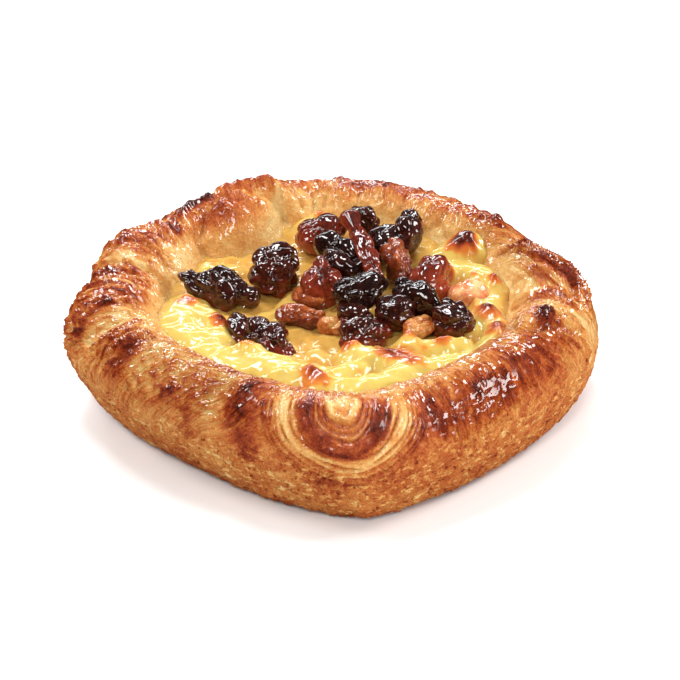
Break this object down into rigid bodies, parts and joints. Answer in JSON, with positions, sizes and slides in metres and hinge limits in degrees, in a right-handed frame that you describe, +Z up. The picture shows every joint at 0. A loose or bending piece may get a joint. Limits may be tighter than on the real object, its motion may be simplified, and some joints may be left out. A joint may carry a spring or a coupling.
{
  "type": "danish pastry",
  "caption": "Danish pastry: a square of laminated dough rolled up at the edges round a custard filling, topped with raisins, walnut pieces and caramelised fruit.",
  "frame": {"origin": "middle of the footprint, on the flat underside of the crust", "axes": "+Z up, away from the surface the pastry rests on; the four dough corners point along +X, -X, +Y and -Y, and -Y is the corner with the most open rolled layers"},
  "size_m": [0.111, 0.1004, 0.0323],
  "materials": {
    "baked_dough": "glazed, flaky, golden brown with dark brown ridges and pale folds",
    "custard": "glossy yellow, browned on the peaks",
    "raisin": "wrinkled and syrup-glossed, nearly black to dark red-brown",
    "walnut": "syrup-glossed, brown skin with tan broken faces",
    "fruit": "caramelised, translucent orange-pink"
  },
  "bodies": {
    "root": {"crust": "baked_dough", "custard": "custard", "raisin_01": "raisin", "raisin_02": "raisin", "raisin_03": "raisin", "raisin_04": "raisin", "raisin_05": "raisin", "raisin_06": "raisin", "raisin_07": "raisin", "raisin_08": "raisin", "raisin_09": "raisin", "raisin_10": "raisin", "raisin_11": "raisin", "raisin_12": "raisin", "raisin_13": "raisin", "raisin_14": "raisin", "raisin_15": "raisin", "raisin_16": "raisin", "raisin_17": "raisin", "walnut_01": "walnut", "walnut_02": "walnut", "walnut_03": "walnut", "walnut_04": "walnut", "walnut_05": "walnut", "fruit_chunk": "fruit"}
  },
  "joints": []
}
